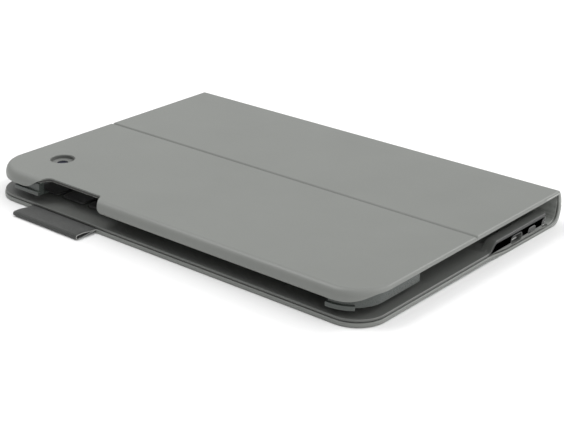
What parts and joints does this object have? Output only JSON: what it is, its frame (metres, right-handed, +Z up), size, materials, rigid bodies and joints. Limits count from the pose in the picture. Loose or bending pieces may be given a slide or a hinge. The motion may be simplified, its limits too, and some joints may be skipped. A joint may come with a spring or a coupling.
{
  "type": "tablet keyboard case",
  "caption": "Closed folio case for a small tablet: a creased cover with corner clips folds over a slim wireless keyboard, joined along the back by a bending spine.",
  "frame": {"origin": "middle of the closed case's footprint, pull tab included, on the surface it stands on", "axes": "+X along the case to the end with the ports, +Y to the spine, +Z up"},
  "size_m": [0.212, 0.1566, 0.0163],
  "materials": {
    "cover_skin": "fine matt grain, coated",
    "stiff_board": "plain fibre board",
    "inner_lining": "fine woven microfibre",
    "deck_plastic": "soft-touch, fine texture",
    "end_plastic": "satin moulded",
    "clip_plastic": "smooth satin",
    "key_plastic": "fine texture",
    "tab_fabric": "coarse weave",
    "steel": "plated",
    "sheet_metal": "stamped",
    "membrane_film": "film",
    "circuit_board": "solder mask",
    "battery_foil": "foil pouch",
    "light_lens": "clear lens"
  },
  "bodies": {
    "keyboard_base": {"base_cover": "cover_skin", "bottom_housing": "end_plastic", "top_deck": "deck_plastic", "port_panel": "end_plastic", "end_cap": "end_plastic", "key_backplate": "sheet_metal", "keyboard_membrane": "membrane_film", "battery_cell": "battery_foil", "main_board": "circuit_board", "usb_socket": "steel", "dock_magnet": "steel", "status_light": "light_lens"},
    "spine": {"spine_skin": "cover_skin", "spine_board": "stiff_board", "spine_lining": "inner_lining"},
    "rear_panel": {"rear_panel_skin": "cover_skin", "rear_panel_board": "stiff_board", "rear_panel_lining": "inner_lining"},
    "holder_panel": {"holder_panel_skin": "cover_skin", "holder_panel_board": "stiff_board", "holder_panel_lining": "inner_lining", "camera_window_ring": "end_plastic", "corner_clip_left": "clip_plastic", "corner_clip_right": "clip_plastic", "closing_magnet": "steel"},
    "pull_tab": {"pull_tab": "tab_fabric"},
    "power_switch": {"power_switch_knob": "key_plastic"},
    "connect_button": {"connect_button": "end_plastic"},
    "key_q_body": {"key_q": "key_plastic"},
    "key_w_body": {"key_w": "key_plastic"},
    "key_e_body": {"key_e": "key_plastic"},
    "key_r_body": {"key_r": "key_plastic"},
    "key_t_body": {"key_t": "key_plastic"},
    "key_y_body": {"key_y": "key_plastic"},
    "key_u_body": {"key_u": "key_plastic"},
    "key_i_body": {"key_i": "key_plastic"},
    "key_o_body": {"key_o": "key_plastic"},
    "key_p_body": {"key_p": "key_plastic"},
    "key_a_body": {"key_a": "key_plastic"},
    "key_s_body": {"key_s": "key_plastic"},
    "key_d_body": {"key_d": "key_plastic"},
    "key_f_body": {"key_f": "key_plastic"},
    "key_g_body": {"key_g": "key_plastic"},
    "key_h_body": {"key_h": "key_plastic"},
    "key_j_body": {"key_j": "key_plastic"},
    "key_k_body": {"key_k": "key_plastic"},
    "key_l_body": {"key_l": "key_plastic"},
    "key_z_body": {"key_z": "key_plastic"},
    "key_x_body": {"key_x": "key_plastic"},
    "key_c_body": {"key_c": "key_plastic"},
    "key_v_body": {"key_v": "key_plastic"},
    "key_b_body": {"key_b": "key_plastic"},
    "key_n_body": {"key_n": "key_plastic"},
    "key_m_body": {"key_m": "key_plastic"},
    "space_key_body": {"space_key": "key_plastic"},
    "number_keys_body": {"number_keys": "key_plastic"},
    "left_side_keys_body": {"left_side_keys": "key_plastic"},
    "right_side_keys_body": {"right_side_keys": "key_plastic"},
    "bottom_left_keys_body": {"bottom_left_keys": "key_plastic"},
    "bottom_right_keys_body": {"bottom_right_keys": "key_plastic"}
  },
  "joints": [
    {"name": "spine_hinge", "type": "hinge", "parent": "keyboard_base", "child": "spine", "pos_m": [0, 0.07598, 0.00222], "axis": [-1, 0, 0], "range_deg": [0, 90]},
    {"name": "rear_panel_hinge", "type": "hinge", "parent": "spine", "child": "rear_panel", "pos_m": [0, 0.07586, 0.01432], "axis": [-1, 0, 0], "range_deg": [0, 90]},
    {"name": "crease_hinge", "type": "hinge", "parent": "rear_panel", "child": "holder_panel", "pos_m": [0, 0.00874, 0.01561], "axis": [1, 0, 0], "range_deg": [-90, 0]},
    {"name": "pull_tab_hinge", "type": "hinge", "parent": "keyboard_base", "child": "pull_tab", "pos_m": [0, -0.06702, 0.00145], "axis": [-1, 0, 0], "range_deg": [0, 60]},
    {"name": "power_switch_slide", "type": "slide", "parent": "keyboard_base", "child": "power_switch", "axis": [0, -0.9999, -0.0106], "range_m": [0, 0.0026]},
    {"name": "connect_button_press", "type": "slide", "parent": "keyboard_base", "child": "connect_button", "axis": [-1, 0, 0], "range_m": [0, 0.0005], "stiffness_N_per_m": 800},
    {"name": "key_q_press", "type": "slide", "parent": "keyboard_base", "child": "key_q_body", "axis": [0, 0.0106, -0.9999], "range_m": [0, 0.0011], "stiffness_N_per_m": 300},
    {"name": "key_w_press", "type": "slide", "parent": "keyboard_base", "child": "key_w_body", "axis": [0, 0.0106, -0.9999], "range_m": [0, 0.0011], "stiffness_N_per_m": 300},
    {"name": "key_e_press", "type": "slide", "parent": "keyboard_base", "child": "key_e_body", "axis": [0, 0.0106, -0.9999], "range_m": [0, 0.0011], "stiffness_N_per_m": 300},
    {"name": "key_r_press", "type": "slide", "parent": "keyboard_base", "child": "key_r_body", "axis": [0, 0.0106, -0.9999], "range_m": [0, 0.0011], "stiffness_N_per_m": 300},
    {"name": "key_t_press", "type": "slide", "parent": "keyboard_base", "child": "key_t_body", "axis": [0, 0.0106, -0.9999], "range_m": [0, 0.0011], "stiffness_N_per_m": 300},
    {"name": "key_y_press", "type": "slide", "parent": "keyboard_base", "child": "key_y_body", "axis": [0, 0.0106, -0.9999], "range_m": [0, 0.0011], "stiffness_N_per_m": 300},
    {"name": "key_u_press", "type": "slide", "parent": "keyboard_base", "child": "key_u_body", "axis": [0, 0.0106, -0.9999], "range_m": [0, 0.0011], "stiffness_N_per_m": 300},
    {"name": "key_i_press", "type": "slide", "parent": "keyboard_base", "child": "key_i_body", "axis": [0, 0.0106, -0.9999], "range_m": [0, 0.0011], "stiffness_N_per_m": 300},
    {"name": "key_o_press", "type": "slide", "parent": "keyboard_base", "child": "key_o_body", "axis": [0, 0.0106, -0.9999], "range_m": [0, 0.0011], "stiffness_N_per_m": 300},
    {"name": "key_p_press", "type": "slide", "parent": "keyboard_base", "child": "key_p_body", "axis": [0, 0.0106, -0.9999], "range_m": [0, 0.0011], "stiffness_N_per_m": 300},
    {"name": "key_a_press", "type": "slide", "parent": "keyboard_base", "child": "key_a_body", "axis": [0, 0.0106, -0.9999], "range_m": [0, 0.0011], "stiffness_N_per_m": 300},
    {"name": "key_s_press", "type": "slide", "parent": "keyboard_base", "child": "key_s_body", "axis": [0, 0.0106, -0.9999], "range_m": [0, 0.0011], "stiffness_N_per_m": 300},
    {"name": "key_d_press", "type": "slide", "parent": "keyboard_base", "child": "key_d_body", "axis": [0, 0.0106, -0.9999], "range_m": [0, 0.0011], "stiffness_N_per_m": 300},
    {"name": "key_f_press", "type": "slide", "parent": "keyboard_base", "child": "key_f_body", "axis": [0, 0.0106, -0.9999], "range_m": [0, 0.0011], "stiffness_N_per_m": 300},
    {"name": "key_g_press", "type": "slide", "parent": "keyboard_base", "child": "key_g_body", "axis": [0, 0.0106, -0.9999], "range_m": [0, 0.0011], "stiffness_N_per_m": 300},
    {"name": "key_h_press", "type": "slide", "parent": "keyboard_base", "child": "key_h_body", "axis": [0, 0.0106, -0.9999], "range_m": [0, 0.0011], "stiffness_N_per_m": 300},
    {"name": "key_j_press", "type": "slide", "parent": "keyboard_base", "child": "key_j_body", "axis": [0, 0.0106, -0.9999], "range_m": [0, 0.0011], "stiffness_N_per_m": 300},
    {"name": "key_k_press", "type": "slide", "parent": "keyboard_base", "child": "key_k_body", "axis": [0, 0.0106, -0.9999], "range_m": [0, 0.0011], "stiffness_N_per_m": 300},
    {"name": "key_l_press", "type": "slide", "parent": "keyboard_base", "child": "key_l_body", "axis": [0, 0.0106, -0.9999], "range_m": [0, 0.0011], "stiffness_N_per_m": 300},
    {"name": "key_z_press", "type": "slide", "parent": "keyboard_base", "child": "key_z_body", "axis": [0, 0.0106, -0.9999], "range_m": [0, 0.0011], "stiffness_N_per_m": 300},
    {"name": "key_x_press", "type": "slide", "parent": "keyboard_base", "child": "key_x_body", "axis": [0, 0.0106, -0.9999], "range_m": [0, 0.0011], "stiffness_N_per_m": 300},
    {"name": "key_c_press", "type": "slide", "parent": "keyboard_base", "child": "key_c_body", "axis": [0, 0.0106, -0.9999], "range_m": [0, 0.0011], "stiffness_N_per_m": 300},
    {"name": "key_v_press", "type": "slide", "parent": "keyboard_base", "child": "key_v_body", "axis": [0, 0.0106, -0.9999], "range_m": [0, 0.0011], "stiffness_N_per_m": 300},
    {"name": "key_b_press", "type": "slide", "parent": "keyboard_base", "child": "key_b_body", "axis": [0, 0.0106, -0.9999], "range_m": [0, 0.0011], "stiffness_N_per_m": 300},
    {"name": "key_n_press", "type": "slide", "parent": "keyboard_base", "child": "key_n_body", "axis": [0, 0.0106, -0.9999], "range_m": [0, 0.0011], "stiffness_N_per_m": 300},
    {"name": "key_m_press", "type": "slide", "parent": "keyboard_base", "child": "key_m_body", "axis": [0, 0.0106, -0.9999], "range_m": [0, 0.0011], "stiffness_N_per_m": 300},
    {"name": "space_key_press", "type": "slide", "parent": "keyboard_base", "child": "space_key_body", "axis": [0, 0.0106, -0.9999], "range_m": [0, 0.0011], "stiffness_N_per_m": 300},
    {"name": "number_keys_press", "type": "slide", "parent": "keyboard_base", "child": "number_keys_body", "axis": [0, 0.0106, -0.9999], "range_m": [0, 0.0011], "stiffness_N_per_m": 600},
    {"name": "left_side_keys_press", "type": "slide", "parent": "keyboard_base", "child": "left_side_keys_body", "axis": [0, 0.0106, -0.9999], "range_m": [0, 0.0011], "stiffness_N_per_m": 600},
    {"name": "right_side_keys_press", "type": "slide", "parent": "keyboard_base", "child": "right_side_keys_body", "axis": [0, 0.0106, -0.9999], "range_m": [0, 0.0011], "stiffness_N_per_m": 600},
    {"name": "bottom_left_keys_press", "type": "slide", "parent": "keyboard_base", "child": "bottom_left_keys_body", "axis": [0, 0.0106, -0.9999], "range_m": [0, 0.0011], "stiffness_N_per_m": 600},
    {"name": "bottom_right_keys_press", "type": "slide", "parent": "keyboard_base", "child": "bottom_right_keys_body", "axis": [0, 0.0106, -0.9999], "range_m": [0, 0.0011], "stiffness_N_per_m": 600}
  ]
}
